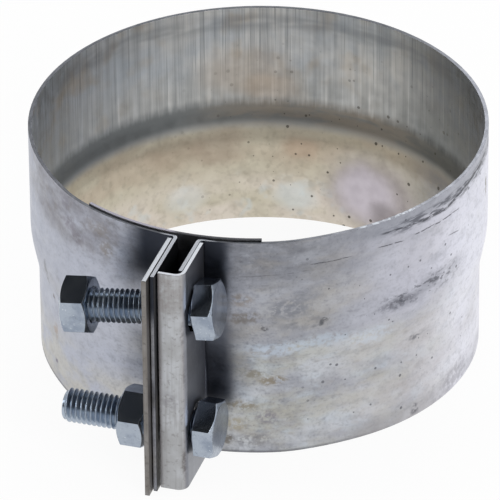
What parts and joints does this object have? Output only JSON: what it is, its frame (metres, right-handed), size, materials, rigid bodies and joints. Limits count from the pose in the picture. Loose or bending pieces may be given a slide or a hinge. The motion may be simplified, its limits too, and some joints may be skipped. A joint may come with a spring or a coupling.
{
  "type": "exhaust clamp",
  "caption": "Split wide-band pipe clamp with a stepped bore and two full-height ears, drawn together by hexagon bolts to join and seal two lapped exhaust pipes.",
  "frame": {"origin": "on the clamp's axis, in the plane of the small end's rim on which it stands", "axes": "+Z along the clamp's axis from the small end to the large end, -Y along the ears, +X towards the bolt heads"},
  "size_m": [0.1336, 0.1599, 0.0725],
  "materials": {
    "coated_sheet": "hot dip coated steel sheet, mottled grey with faint stains",
    "dark_sheet": "coated steel strip, darker",
    "coated_plate": "coated steel plate, dull grey",
    "zinc_steel": "bright zinc plating with a cool blue tint"
  },
  "bodies": {
    "clamp": {"clamp_band": "coated_sheet", "sealing_tongue": "dark_sheet", "nut_side_bar": "coated_plate", "head_side_bracket": "coated_plate"},
    "upper_screw": {"upper_bolt": "zinc_steel"},
    "upper_nut_body": {"upper_nut": "zinc_steel"},
    "lower_screw": {"lower_bolt": "zinc_steel"},
    "lower_nut_body": {"lower_nut": "zinc_steel"}
  },
  "joints": [
    {"name": "upper_bolt_turn", "type": "hinge", "parent": "clamp", "child": "upper_screw", "pos_m": [0, -0.0775, 0.05469], "axis": [-0.9932, -0.052, -0.1045], "range_deg": [0, 4200]},
    {"name": "upper_nut_travel", "type": "slide", "parent": "clamp", "child": "upper_nut_body", "axis": [0.9932, 0.052, 0.1045], "range_m": [0, 0.0175]},
    {"name": "lower_bolt_turn", "type": "hinge", "parent": "clamp", "child": "lower_screw", "pos_m": [0, -0.0775, 0.016], "axis": [-1, 0, 0], "range_deg": [-3960, 720]},
    {"name": "lower_nut_travel", "type": "slide", "parent": "clamp", "child": "lower_nut_body", "axis": [1, 0, 0], "range_m": [-0.0165, 0.003]}
  ],
  "couplings": [
    {"joint": "upper_nut_travel", "follows": "upper_bolt_turn", "m_per_rad": 0.00023873},
    {"joint": "lower_nut_travel", "follows": "lower_bolt_turn", "m_per_rad": 0.00023873}
  ]
}
